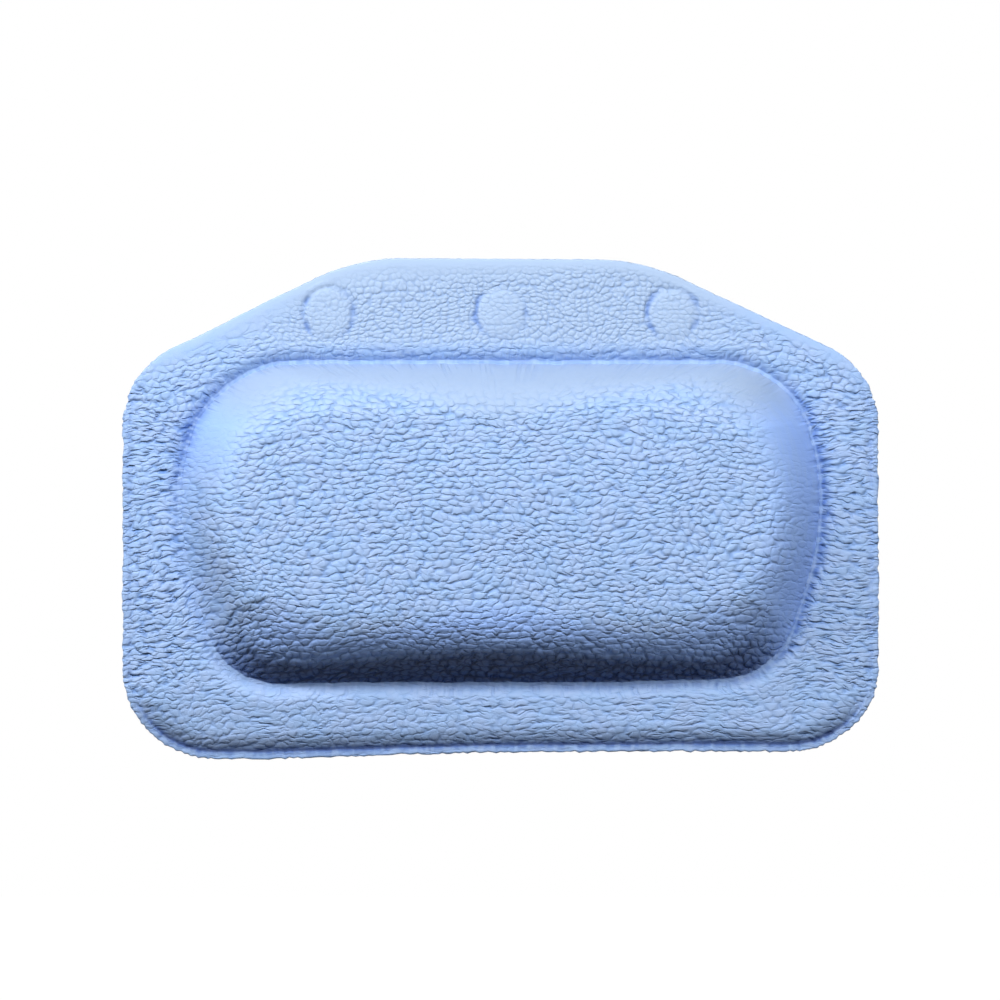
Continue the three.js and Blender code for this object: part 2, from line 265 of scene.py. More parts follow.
# Grain of the other pieces: size and depth
BACK_GRAIN_DEPTH = 0.00003
BACK_RIPPLE_DEPTH = 0.0004
PORE_SIZE = 1 / 900
PORE_DEPTH = 0.0004
WASHER_GRAIN = 1 / 1500
WASHER_GRAIN_DEPTH = 0.00004
CUP_MARK = 1 / 260
CUP_MARK_DEPTH = 0.00012

# Colours, linear
FRONT_COLOUR_COOL = (0.34, 0.505, 0.81)
FRONT_COLOUR_WARM = (0.375, 0.52, 0.81)
# Painted sheen on the flap and the cushion's upper wall
FRONT_COLOUR_PAINTED_SHEEN = (0.385, 0.51, 0.715)
# Painted shade in the creases of the grain
FRONT_COLOUR_CREASE_SHADE = (0.09, 0.23, 0.62)
FRONT_COLOUR_PRESSED = (0.13, 0.24, 0.58)
# Painted shade at the cushion's foot, on the bottom flange and in its edge weld
FRONT_COLOUR_PAINTED_SHADE = (0.035, 0.06, 0.16)
# Painted reflected light on the cushion's walls
FRONT_COLOUR_BOUNCE_LIGHT = (0.315, 0.49, 0.93)
BACK_COLOURS = ((0.27, 0.42, 0.74), (0.31, 0.46, 0.78))
# The first foam colour is painted shade in the pores
FOAM_COLOURS = ((0.62, 0.56, 0.42), (0.88, 0.85, 0.74))
WASHER_COLOURS = ((0.68, 0.75, 0.86), (0.82, 0.87, 0.93))
CUP_COLOURS = ((0.78, 0.87, 0.95), (0.88, 0.94, 0.98))
FLOOR_COLOUR = (0.1, 0.1, 0.1)
WHITE = (1, 1, 1)

# Studio. Each lamp has a place, what it aims at, its width and height, and its power
FILL_STRENGTH = 0.01
FLOOR_STRENGTH = 0.97
FLOOR_SIZE = 12
FLOOR_Z = -0.9
LAMPS = {
    "key": ((-0.22, -0.64, 0.43), (0, 0, -0.07), (2.4, 0.12), 19.5),
    "side": ((1.1, -0.5, 0.25), (0.1, 0, -0.08), (0.3, 0.3), 1.2),
    "rear": ((0.3, 1.2, 0.5), (0, 0, -0.07), (1.2, 0.6), 18.0),
}

# Camera, and the picture's width at the plane of the sheets
PICTURE_WIDTH = 0.413
CAMERA_DISTANCE = 1.5
VIEW_X = -0.0002
VIEW_Z = -0.0768

# Places worked out from the sizes above. y = 0 is the row of cups
TOP_Y = CUP_ROW_DROP
BOTTOM_Y = TOP_Y - SHEET_HEIGHT
SLOPE_RUN = (SHEET_WIDTH - TOP_EDGE_WIDTH) / 2
SLOPE_LENGTH = math.hypot(SLOPE_RUN, SLOPE_DROP)
OUTER_CUP_X = TOP_EDGE_WIDTH / 2 + (SLOPE_RUN * CUP_ROW_DROP - STATION_MARGIN * SLOPE_LENGTH) / SLOPE_DROP
CUSHION_TOP_Y = TOP_Y - FLAP_HEIGHT
CUSHION_BOTTOM_Y = BOTTOM_Y + BOTTOM_FLANGE
CUSHION_MIDDLE_Y = (CUSHION_TOP_Y + CUSHION_BOTTOM_Y) / 2
WAIST_X = SHEET_WIDTH / 2 - SIDE_FLANGE
PLATEAU_Z = CUSHION_RISE - CROWN_RISE
WALL_Z = -(BACK_THICKNESS + CUP_STANDOFF)

SHEET_CORNERS = [
    (TOP_EDGE_WIDTH / 2, TOP_Y, TOP_CORNER_RADIUS),
    (SHEET_WIDTH / 2, TOP_Y - SLOPE_DROP, SIDE_CORNER_RADIUS),
    (SHEET_WIDTH / 2, BOTTOM_Y, BOTTOM_CORNER_RADIUS),
]
CUSHION_CORNERS = [
    (WAIST_X - CUSHION_TOP_INSET, CUSHION_TOP_Y, CUSHION_TOP_RADIUS),
    (WAIST_X, CUSHION_TOP_Y - CUSHION_WAIST_DROP, CUSHION_WAIST_RADIUS),
    (WAIST_X - CUSHION_BOTTOM_INSET, CUSHION_BOTTOM_Y, CUSHION_BOTTOM_RADIUS),
]
STATIONS = {"left": -OUTER_CUP_X, "middle": 0.0, "right": OUTER_CUP_X}


def lerp(a, b, share):
    return a + (b - a) * share


def smooth(low, high, value):
    """Goes softly from 0 at low to 1 at high."""
    share = np.clip((value - low) / (high - low), 0, 1)
    return share * share * (3 - 2 * share)


def near(away, reach):
    """1 on a line, and softly down to 0 about two reaches away from it."""
    return np.exp(-((away / reach) ** 2))


def noise_at(points, size, seed):
    """Soft noise between -1 and 1 at each point, with features of about one size."""
    flat = points.reshape(-1, points.shape[-1]) / size
    values = [noise.noise(Vector((p[0] + seed, p[1] - seed, seed))) for p in flat]
    return np.array(values).reshape(points.shape[:-1])


def uneven_at(points, layers):
    return sum(depth * noise_at(points, size, seed) for depth, size, seed in layers)


def joined(*arrays):
    return np.concatenate(arrays)


def distance(points, others):
    return np.linalg.norm(points - others, axis=-1)


# Loops and rings


def loop_pieces(corners):
    """The straight and round pieces of a loop that is alike on both sides of x = 0, clockwise from
    the middle of its top edge: each has a weight, and gives a point and an outward normal at a share."""
    corners = corners + [(-x, y, radius) for x, y, radius in reversed(corners)]
    spots = [np.array((x, y)) for x, y, radius in corners]
    start = np.array((0, corners[0][1]))
    pieces = []

    def straight(begin, end):
        way = end - begin
        normal = np.array((-way[1], way[0])) / np.linalg.norm(way)
        pieces.append((np.linalg.norm(way), lambda share: (lerp(begin, end, share), normal)))

    def bend(centre, normal, radius, turn):
        def at(share):
            cos, sin = math.cos(-turn * share), math.sin(-turn * share)
            turned = np.array((normal[0] * cos - normal[1] * sin, normal[0] * sin + normal[1] * cos))
            return centre + turned * radius, turned

        pieces.append(((radius + BEND_LENGTH) * turn, at))

    begin = start
    for i, spot in enumerate(spots):
        radius = corners[i][2]
        way = spot - spots[i - 1]
        way = way / np.linalg.norm(way)
        after = spots[(i + 1) % len(spots)] - spot
        after = after / np.linalg.norm(after)
        normal = np.array((-way[1], way[0]))
        turn = math.acos(float(way @ after))
        reach = radius * math.tan(turn / 2)
        straight(begin, spot - way * reach)
        bend(spot - way * reach - normal * radius, normal, radius, turn)
        begin = spot + after * reach
    straight(begin, start)
    return pieces


def sample_loop(corners, cells):
    """The loop's points and outward normals, in step with the rim of a field of so many cells."""
    pieces = loop_pieces(corners)
    ends = np.cumsum([weight for weight, at in pieces])
    columns = 2 * sum(cells)
    points, normals = [], []
    for k in range(columns):
        place = k / columns * ends[-1]
        i = int(np.searchsorted(ends, place, side="right"))
        weight, at = pieces[i]
        point, normal = at(1 - (ends[i] - place) / weight)
        points.append(point)
        normals.append(normal)
    return np.array(points), np.array(normals)


def parallel(loop, out):
    points, normals = loop
    return points + normals * out


def between(outer, inner, count):
    """So many rings from an outer one to an inner one, both among them."""
    return np.array([lerp(outer, inner, share) for share in np.linspace(0, 1, count)])


def side_shares(loop):
    """How much each column belongs to the top, the sides and the bottom of the pillow."""
    up = loop[1][:, 1]
    top = smooth(*SIDE_TURN_SHARES, up)
    bottom = smooth(*SIDE_TURN_SHARES, -up)
    return top, 1 - top - bottom, bottom


def by_side(loop, values):
    return sum(share * value for share, value in zip(side_shares(loop), values))


def crown_at(points):
    """Extra height of the crown at each place on the cushion."""
    across = points[..., 0] / WAIST_X
    up = (points[..., 1] - CUSHION_MIDDLE_Y) / (CUSHION_TOP_Y - CUSHION_MIDDLE_Y)
    return CROWN_RISE * (1 - across**2) * (1 - up**2)


def middle_field(cells):
    """The field in the middle of the cushion: rows of places from its top edge down."""
    half_width = WAIST_X - SIDE_SHOULDER
    top, bottom = CUSHION_TOP_Y - TOP_SHOULDER, CUSHION_BOTTOM_Y + BOTTOM_SHOULDER
    across, up = np.meshgrid(np.linspace(-1, 1, cells[0] + 1), np.linspace(1, -1, cells[1] + 1))
    xs = half_width * across * np.sqrt(1 - MIDDLE_ROUND_SHARE * up**2 / 2)
    ys = lerp(bottom, top, 0.5 + up / 2 * np.sqrt(1 - MIDDLE_ROUND_SHARE * across**2 / 2))
    return np.stack([xs, ys], axis=-1)


def rim_of(field):
    """The rim of a field, clockwise from the middle of its top edge, in step with the loops."""
    rim = joined(field[0, :-1], field[:-1, -1], field[-1, :0:-1], field[:0:-1, 0])
    return np.roll(rim, -((field.shape[1] - 1) // 2), axis=0)


def layout(cells):
    """The loops of the sheets and of the cushion and the field in its middle, of so many cells."""
    return sample_loop(SHEET_CORNERS, cells), sample_loop(CUSHION_CORNERS, cells), middle_field(cells)


def shoulder(cushion, foot, foot_z, field, top_z, rings, extra_softness=0):
    """The rings that climb the round side of the cushion, as places and heights."""
    rim = rim_of(field)
    fullness = by_side(cushion, SHOULDER_FULLNESS)
    softness = by_side(cushion, SHOULDER_FOOT) + extra_softness
    places, heights = [], []
    for i in range(1, rings + 1):
        share = (i / rings) ** RING_CROWDING
        places.append(lerp(foot, rim, share))
        risen = 1 - (1 - share**softness) ** fullness
        heights.append(lerp(foot_z, top_z + crown_at(rim), risen))
    return np.array(places), np.array(heights)


# Meshes


def stack(places, heights):
    return np.concatenate([places, heights[..., None]], axis=-1)


def level(places):
    """The places at height zero, where the two sheets meet."""
    return stack(places, np.zeros(places.shape[:-1]))


def flipped(faces):
    return [face[::-1] for face in faces]


def numbered(shape, first=0):
    """Numbers from a first one on, row after row."""
    return first + np.arange(math.prod(shape)).reshape(shape)


def ring_faces(rings):
    """Four-sided faces, facing up, between clockwise rings of point numbers from the outside in."""
    after = np.roll(rings, -1, axis=1)
    return np.stack([rings[1:], after[1:], after[:-1], rings[:-1]], axis=-1).reshape(-1, 4)


def grid_faces(grid):
    corners = [grid[1:, :-1], grid[1:, 1:], grid[:-1, 1:], grid[:-1, :-1]]
    return np.stack(corners, axis=-1).reshape(-1, 4)


def domed_face(rings, field, first):
    """Numbers the points of rings and of the field inside them, whose rim is the last ring, from a
    first number on. Gives the points, the faces that face up, and the outermost ring's numbers."""
    ring_numbers = numbered(rings.shape[:2], first)
    inside = field[1:-1, 1:-1]
    grid = np.zeros(field.shape[:2], dtype=int)
    grid[1:-1, 1:-1] = numbered(inside.shape[:2], ring_numbers[-1, -1] + 1)
    grid.flat[rim_of(numbered(grid.shape))] = ring_numbers[-1]
    points = joined(rings.reshape(-1, 3), inside.reshape(-1, 3))
    faces = ring_faces(ring_numbers).tolist() + grid_faces(grid).tolist()
    return points, faces, ring_numbers[0]


def stitch(fine, coarse):
    """Three-sided faces, facing up, from a fine ring to one inside it with a fraction of its points."""
    ratio = len(fine) // len(coarse)
    faces = []
    for k, here in enumerate(coarse):
        after = coarse[(k + 1) % len(coarse)]
        beside = [fine[(k * ratio + i) % len(fine)] for i in range(ratio + 1)]
        half = ratio // 2
        faces += [(here, beside[i + 1], beside[i]) for i in range(half)]
        faces += [(here, after, beside[half])]
        faces += [(after, beside[i + 1], beside[i]) for i in range(half, ratio)]
    return faces


def weld_rings(faces, kept, dropped):
    """Uses one ring's points in the place of another's, which lie on them."""
    instead = dict(zip(dropped.tolist(), kept.tolist()))
    return [[instead.get(k, k) for k in face] for face in faces]


def upright(points):
    """From the flat shape to the hanging one: y turns up to Z, and z turns forwards to -Y."""
    x, y, z = points.T
    return np.stack([x, WALL_Z - z, y], axis=-1)


def warp(points):
    """The small leanings of sheets cut by hand: the top edge falls a little to the right, the
    bottom edge rises a little to the right, the lower left corner curls back, and the cushion's
    seam strays a little from its line at a few places."""
    x, y, z = points.T
    for centre_x, centre_y, aside, up, reach in SEAM_STRAYS:
        share = np.exp(-(((x - centre_x) / reach) ** 2) - ((y - centre_y) / reach) ** 2)
        x, y = x + aside * share, y + up * share
    high = smooth(CUSHION_TOP_Y, TOP_Y, y)
    low = smooth(CUSHION_BOTTOM_Y, BOTTOM_Y, y)
    lift = lerp(*BOTTOM_EDGE_LIFTS, smooth(*BOTTOM_EDGE_TURN, x))
    y = y - TOP_EDGE_LEAN * high * x / WAIST_X + low * lift
    z = z - CORNER_CURL * low * smooth(*CORNER_CURL_TURN, x)
    return np.stack([x, y, z], axis=-1)


def new_object(name, data):
    thing = bpy.data.objects.new(name, data)
    bpy.context.scene.collection.objects.link(thing)
    return thing


def mesh_piece(name, points, faces, values=None):
    """A mesh object of its own, shaded smooth, with named values at its points."""
    mesh = bpy.data.meshes.new(name)
    mesh.from_pydata(points.tolist(), [], faces)
    for key, value in (values or {}).items():
        is_vector = value.ndim == 2
        layer = mesh.attributes.new(key, "FLOAT_VECTOR" if is_vector else "FLOAT", "POINT")
        layer.data.foreach_set("vector" if is_vector else "value", value.astype(np.float32).reshape(-1))
    mesh.shade_smooth()
    mesh.update()
    return new_object(name, mesh)


def apply_modifiers(piece):
    """Gives the piece the mesh that its modifiers make, and takes them off."""
    scene_now = bpy.context.evaluated_depsgraph_get()
    mesh = bpy.data.meshes.new_from_object(piece.evaluated_get(scene_now))
    piece.modifiers.clear()
    piece.data = mesh


# Front sheet


def roll(share):
    """The soft rise of foamed sheet beside a weld."""
    return 1 - (1 - np.clip(share, 0, 1)) ** ROLL_POWER


def rounded_edge(inward):
    """From 0 at the cut edge to 1 where its rounding ends."""
    return np.sqrt(1 - (1 - np.clip(inward / EDGE_ROUND, 0, 1)) ** 2)


def edge_profile(inward, weld_share):
    """Thickness of the front sheet at a distance in from its outline, where its weld is so deep."""
    rounding = rounded_edge(inward)
    plain = lerp(EDGE_THICKNESS, FLANGE_THICKNESS, roll(inward / EDGE_SOFTNESS)) * lerp(0.6, 1, rounding)
    lip = LIP_THICKNESS * lerp(0.5, 1, rounding)
    weld_end = LIP_WIDTH + EDGE_WELD_WIDTH
    pressed = smooth(LIP_WIDTH - WELD_FLANK, LIP_WIDTH + WELD_FLANK, inward)
    rolled = lerp(WELD_THICKNESS, FLANGE_THICKNESS, roll((inward - weld_end) / EDGE_ROLL))
    welded = np.where(inward < weld_end, lerp(lip, WELD_THICKNESS, pressed), rolled)
    return lerp(plain, welded, weld_share)


def seam_profile(outward):
    return lerp(WELD_THICKNESS, FLANGE_THICKNESS, roll((outward - SEAM_WIDTH / 2) / SEAM_ROLL))


def off_edge_weld(from_edge):
    return from_edge - LIP_WIDTH - EDGE_WELD_WIDTH / 2


def flange_places(sheet, cushion):
    """The places of the rings from the outline to just inside the cushion's seam."""
    edge = [parallel(sheet, -share * LIP_WIDTH) for share in EDGE_SHARES]
    seam = [parallel(cushion, share * SEAM_WIDTH / 2) for share in SEAM_SHARES]
    middle = between(edge[-1], seam[0], FLANGE_RINGS + 2)[1:-1]
    return joined(edge, middle, seam)


def station_relief(places):
    """Moves the places beside each cup onto round lines, and gives the height of the ring weld and
    of the disc inside it, and how far a place is pressed by the weld."""
    moved = places.copy()
    height = np.zeros(places.shape[:-1])
    pressed = np.zeros(places.shape[:-1])
    for seed, x in enumerate(STATIONS.values()):
        away = places - np.array((x, 0))
        radius = np.linalg.norm(away, axis=-1)
        line = RING_RADIUS + np.round((radius - RING_RADIUS) / RING_PITCH) * RING_PITCH
        beside = np.abs(radius - RING_RADIUS) < 2.5 * RING_PITCH
        snapped = np.where(beside, lerp(radius, line, SNAP_SHARE), radius)
        moved += away * (snapped / radius - 1)[..., None]
        around = away / radius[..., None]
        strength = lerp(0.3, 0.95, smooth(-0.9, 0.3, around[..., 1]))
        strength = np.clip(strength + 0.6 * noise_at(around, 0.6, 3.7 * seed + 1.3), 0.15, 1.2)
        ring = near(snapped - RING_RADIUS, RING_HALF_WIDTH)
        disc = DISC_RISE * (1 - 0.8 * (snapped / RING_RADIUS) ** 2)
        inside = smooth(RING_RADIUS, RING_RADIUS - RING_HALF_WIDTH, snapped)
        height += inside * disc - RING_DEPTH * strength * ring
        pressed += ring * strength
    return moved, height, pressed


def seam_looks(cushion):
    """Shares for each column of the seam: how far it is to the right, how far it is in the upper
    part, how open its groove is, how clear and how strong its tint is, and its gathers."""
    top, side, bottom = side_shares(cushion)
    right = smooth(*RIGHT_TURN_SHARES, cushion[0][:, 0] / WAIST_X)
    upper = smooth(*UPPER_TURN, cushion[0][:, 1])
    clear = np.maximum(right, upper)
    open_share = 1 - side * (1 - clear) * FILLED_SHARE
    clear_share = lerp(0.2, 1.0, clear)
    tint = (top * 0.4 + side + bottom * 0.5) * clear_share
    gathers = top * 0.4 + side * open_share + bottom * 0.5
    return {"right": right, "upper": upper, "open": open_share, "clear": clear_share, "tint": tint,
            "gathers": gathers}


def flange_grain(sheet, cushion, from_edge, from_seam, places):
    """How deep the grain is on the flange: stretched smooth at its edges, its welds and the discs."""
    top, side, bottom = side_shares(cushion)
    edge_top, edge_side, edge_bottom = side_shares(sheet)
    seam = seam_looks(cushion)
    bare_to = lerp(BARE_EDGE_LEFT, BARE_EDGE_RIGHT, smooth(*BARE_EDGE_TURN, sheet[0][:, 0]))
    grain = lerp(1, smooth(BARE_EDGE, bare_to, from_edge), edge_top)
    grain = grain * lerp(1, smooth(*SEAM_BARE_TOP, from_seam), 0.5 * top)
    on_lip = lerp(0.4, 1, smooth(LIP_WIDTH, LIP_WIDTH + LIP_BARE_RUN, from_edge))
    grain = grain * lerp(1, on_lip, by_side(sheet, EDGE_WELD_SHARES))
    at_seam = lerp(1, smooth(0, SEAM_BARE, from_seam), seam["open"])
    grain = grain * lerp(at_seam, lerp(0.4, 0.8, smooth(*SEAM_BARE_BOTTOM, from_seam)), bottom)
    grain = grain * (1 + 0.2 * edge_side * (1 - seam["right"]) - 0.18 * edge_bottom)
    for x in STATIONS.values():
        radius = distance(places, np.array((x, 0)))
        outside = smooth(RING_RADIUS - RING_BARE_INSIDE, RING_RADIUS + RING_BARE_OUTSIDE, radius)
        grain = grain * lerp(0.55, 1, outside)
    return grain


def flange_values(sheet, cushion, flange, places):
    """What the material reads on the flange."""
    from_edge, from_seam = distance(flange, sheet[0]), distance(flange, cushion[0])
    edge_top, edge_side, edge_bottom = side_shares(sheet)
    below = side_shares(cushion)[2]
    weld_share = by_side(sheet, EDGE_WELD_SHARES)
    seam = seam_looks(cushion)

    flap = edge_top * smooth(*FLAP_TURN, np.abs(flange[..., 0])) * smooth(*FLAP_GRAIN, from_seam)
    side_wave, bottom_wave = lerp(0.55, 1, seam["right"]), lerp(0.25, 0.6, seam["right"])
    waviness = edge_top * 0.2 + edge_side * side_wave + edge_bottom * bottom_wave
    weld_line = near(off_edge_weld(from_edge), WELD_LINE_REACH) * weld_share * 1.2
    lip_tint = smooth(LIP_WIDTH, LIP_WIDTH - LIP_TINT_RUN, from_edge) * weld_share * 0.3
    off_line = from_seam - lerp(*SEAM_LINE_ENDS, seam["right"])
    seam_line = near(off_line, lerp(*SEAM_LINE_REACH_ENDS, seam["right"])) * seam["tint"]
    # Painted shade: the bottom flange darkens where it rolls to its edge weld, in that weld's groove, and
    # just below the cushion's seam
    roll_foot = smooth(*ROLL_FOOT, from_edge) * smooth(LIP_WIDTH, LIP_WIDTH + ROLL_FOOT_RUN, from_edge)
    roll_foot = roll_foot * edge_bottom * 0.27
    seam_dark = smooth(SEAM_DARK, 0, from_seam) * below * 0.3
    return {
        "grain": flange_grain(sheet, cushion, from_edge, from_seam, places),
        "wave": np.broadcast_to(waviness, from_edge.shape),
        "fine": flap,
        # Painted sheen on the flap
        "pale": flap,
        "side": np.zeros(from_edge.shape),
        "pucker": smooth(*GATHERS_BEGIN, from_seam) * smooth(*GATHERS_STOP, from_seam) * seam["gathers"],
        "pressed": np.clip(weld_line + lip_tint + seam_line, 0, 1),
        "painted_shade": weld_line * edge_bottom * 0.7 + roll_foot + seam_dark,
    }


def wall_values(cushion, reach):
    """What the material reads on the round side of the cushion, at a reach in from its seam."""
    top, side, bottom = side_shares(cushion)
    seam = seam_looks(cushion)
    side_grain = lerp(lerp(0.9, 0.35, seam["right"]), 1, smooth(*WALL_BARE_SIDE, reach))
    side_grain *= lerp(1, lerp(0.2, 1, smooth(*WALL_BARE_UPPER, reach)), seam["upper"])
    top_grain = lerp(0.08, 1, smooth(*WALL_BARE_TOP, reach))
    steep = smooth(0, WALL_STEEP_START, reach) * smooth(*WALL_STEEP_STOP, reach)
    below = smooth(*BELOW_TURN_SHARES, -cushion[1][:, 1])
    gathers = smooth(*WALL_GATHERS, reach) * seam["gathers"] * 0.7
    # Painted reflected light on the side walls
    painted_bounce = smooth(*WALL_BOUNCE_SIDE, reach) * side * seam["clear"] ** 3
    plain = np.zeros(reach.shape)
    return {
        "grain": top * top_grain + side * side_grain + bottom * (1 + 0.9 * steep),
        "wave": plain,
        "fine": plain,
        # Painted sheen on the upper wall
        "pale": smooth(*WALL_SHEEN_TOP, reach) * top,
        # Painted reflected light on the side and lower walls
        "side": painted_bounce + smooth(*WALL_BOUNCE_BOTTOM, reach) * bottom,
        "pucker": gathers + smooth(*WALL_GATHERS_TOP, reach) * top * 0.14,
        "pressed": near(reach, lerp(*WALL_LINE_REACH_ENDS, seam["right"])) * seam["tint"] * 0.8,
        # Painted shade on the lower wall, and a little on the upper wall
        "painted_shade": smooth(*WALL_DARK_BOTTOM, reach) * below * 0.96 + smooth(*WALL_DARK_TOP, reach) * top * 0.2,
    }


def front_surface(sheet, cushion, field):
    """The rings of the front sheet's face, from its outline to the rim of the middle field, and the
    values that its material reads at every point."""
    flange = flange_places(sheet, cushion)
    from_seam = distance(flange, cushion[0])
    open_share = seam_looks(cushion)["open"]
    groove = lerp(1, seam_profile(from_seam) / FLANGE_THICKNESS, open_share)
    heights = edge_profile(distance(flange, sheet[0]), by_side(sheet, EDGE_WELD_SHARES)) * groove
    places, ring_heights = station_relief(flange)[:2]

    foot_z = lerp(FLANGE_THICKNESS, WELD_THICKNESS, open_share)
    softer = FILLED_SOFTNESS * (1 - open_share)
    climb, climb_heights = shoulder(cushion, flange[-1], foot_z, field, PLATEAU_Z, SHOULDER_RINGS, softer)
    reach = distance(climb, cushion[0])

    on_wall = wall_values(cushion, reach)
    values = {key: joined(value, on_wall[key])
              for key, value in flange_values(sheet, cushion, flange, places).items()}
    outward = joined(from_seam, -reach)
    values["beside"] = stack(np.broadcast_to(cushion[0], (*outward.shape, 2)), outward)
    both = crimped(joined(places, climb), cushion, np.abs(outward))
    return both, joined(heights + ring_heights, climb_heights), values


def swell_at(places):
    """Soft dents and swells, as on anything foamed and filled by hand."""
    return uneven_at(places, SWELLS)


def crimped(places, cushion, away):
    """Small in-and-out waves of the sheet beside the cushion's seam, which die out away from it."""
    wave = uneven_at(cushion[0], CRIMPS)
    return places + cushion[1] * (wave * near(away, CRIMP_REACH))[..., None]


def cut_edge(places, sheet):
    """Small bumps of the cut edge, which die out inwards."""
    jag = uneven_at(sheet[0], JAGS) * by_side(sheet, EDGE_JAG_SHARES)
    fade = np.exp(-distance(places, places[0]) / JAG_REACH)
    return places + sheet[1] * (jag * fade)[..., None]


def underside(sheet, cushion, field):
    """The inner face of the front sheet: flat to the mouth of the hollow, then up inside it."""
    mouth = parallel(cushion, -(SEAM_WIDTH / 2 + COVER_WALL))
    flat = level(between(parallel(sheet, -LIP_WIDTH / 2), mouth, FLAT_RINGS))
    top = PLATEAU_Z - COVER_WALL
    climb, heights = shoulder(cushion, mouth, 0, field, top, INNER_SHOULDER_RINGS)
    return joined(flat, stack(climb, heights)), stack(field, top + crown_at(field))


def sheet_piece(name, outer, inner, values, is_rear=False):
    """A closed sheet of two faces, each of rings and a field, with a band between their outlines.
    The values are for the outer face's rings after its first. Its field has full grain only."""
    points, faces, outline = domed_face(*outer, 0)
    inner_points, inner_faces, inner_outline = domed_face(*inner, len(points))
    faces += flipped(inner_faces + stitch(outline.tolist(), inner_outline.tolist()))
    every = joined(points, inner_points)
    columns = {}
    for key, value in values.items():
        last = len(outline) + value.shape[0] * value.shape[1]
        columns[key] = np.zeros((len(every), *value.shape[2:]))
        columns[key][len(outline) : last] = value.reshape(-1, *value.shape[2:])
        columns[key][last : len(points)] = 1 if key == "grain" else 0
    return mesh_piece(name, upright(warp(every)), flipped(faces) if is_rear else faces, columns)


def front_cover():
    """The textured front sheet, formed over the cushion in one piece with its flange and flap."""
    sheet, cushion, field = layout(FINE_CELLS)
    places, heights, values = front_surface(sheet, cushion, field)
    heights[1:] += (swell_at(places) * np.clip(values["grain"], 0.2, 1))[1:]
    places = cut_edge(places, sheet)
    rings = joined(level(places[:1]), stack(places, heights))
    face = stack(field, PLATEAU_Z + crown_at(field) + swell_at(field))
    return sheet_piece("front_sheet_formed", (rings, face), underside(*layout(COARSE_CELLS)), values)


# Back sheet, foam and cups


def back_cover():
    """The flat back sheet, with weld lines in its rear face and a hole for the neck of each cup."""
    sheet, cushion, field = layout(FINE_CELLS)
    flange = flange_places(sheet, cushion)
    inner = between(flange[-1], rim_of(field), BACK_RINGS)[1:]
    places = joined(flange, inner)
    from_edge = distance(places, sheet[0])
    edge_weld = near(off_edge_weld(from_edge), BACK_WELD_HALF_WIDTH)
    seam_weld = near(distance(places, cushion[0]), BACK_WELD_HALF_WIDTH)
    moved, ring_heights, ring_weld = station_relief(places)
    pressed = np.clip(edge_weld * by_side(sheet, BACK_EDGE_SHARES) + seam_weld + ring_weld, 0, 1)
    thickness = BACK_THICKNESS * lerp(0.4, 1, rounded_edge(from_edge))
    heights = -thickness + BACK_WELD_DEPTH * pressed + BACK_SWELL_SHARE * swell_at(places)
    bulging = smooth(0, BACK_BULGE_RUN, distance(inner, cushion[0]))
    bulge = BACK_BULGE * joined(np.zeros(flange.shape[:2]), bulging)
    rings = stack(cut_edge(moved, sheet), np.minimum(heights - bulge, -EDGE_ROUND))
    rings = joined(level(rings[:1, :, :2]), rings)
    rear = stack(field, -BACK_THICKNESS - BACK_BULGE + BACK_SWELL_SHARE * swell_at(field))

    coarse_field = middle_field(COARSE_CELLS)
    outer = parallel(sample_loop(SHEET_CORNERS, COARSE_CELLS), -LIP_WIDTH / 2)
    front = level(between(outer, rim_of(coarse_field), FLAT_RINGS)), level(coarse_field)
    piece = sheet_piece("back_sheet_flat", (rings, rear), front, {"pressed": pressed}, is_rear=True)
    for x in STATIONS.values():
        cut_neck_hole(piece, x)
    return piece


def cut_neck_hole(piece, x):
    radius = NECK_RADIUS + NECK_CLEARANCE
    rear, front = -2 * BACK_THICKNESS, BACK_THICKNESS
    cutter = turned("neck_cutter", [(0, rear), (radius, rear), (radius, front), (0, front)], x)
    cut = piece.modifiers.new("neck_hole", "BOOLEAN")
    cut.object = cutter
    cut.solver = "EXACT"
    apply_modifiers(piece)
    bpy.data.objects.remove(cutter)


def foam_core():
    """The block of soft foam that fills the cushion and rests on the back sheet."""
    cushion, field = layout(COARSE_CELLS)[1:]
    foot = parallel(cushion, -(SEAM_WIDTH / 2 + COVER_WALL + CORE_CLEARANCE))
    top = PLATEAU_Z - COVER_WALL - CORE_CLEARANCE
    climb, heights = shoulder(cushion, foot, 0, field, top, FOAM_SHOULDER_RINGS)
    rings = joined(level(foot)[None], stack(climb, heights))
    points, faces, outline = domed_face(rings, stack(field, top + crown_at(field)), 0)
    base_rings = level(between(foot, rim_of(field), FOAM_BASE_RINGS))
    base, base_faces, inner_ring = domed_face(base_rings, level(field), len(points))
    faces = weld_rings(faces + flipped(base_faces), outline, inner_ring)
    return mesh_piece("foam_block", upright(warp(joined(points, base))), faces)


def rounded_profile(profile, reach):
    """A profile of radius and height with its corners off the axis rounded."""
    points = [np.array(p, dtype=float) for p in profile]
    smoothed = [points[0]]
    for before, here, after in zip(points, points[1:], points[2:]):
        back, on = before - here, after - here
        begin = here + back * min(reach / np.linalg.norm(back), 0.5)
        end = here + on * min(reach / np.linalg.norm(on), 0.5)
        smoothed += bow(begin, here, end, CORNER_STEPS)
    smoothed.append(points[-1])
    return smoothed


def bow(begin, middle, end, steps):
    """Points of a curve that is pulled towards its middle."""
    shares = np.linspace(0, 1, steps + 1)
    return [lerp(lerp(begin, middle, s), lerp(middle, end, s), s) for s in shares]


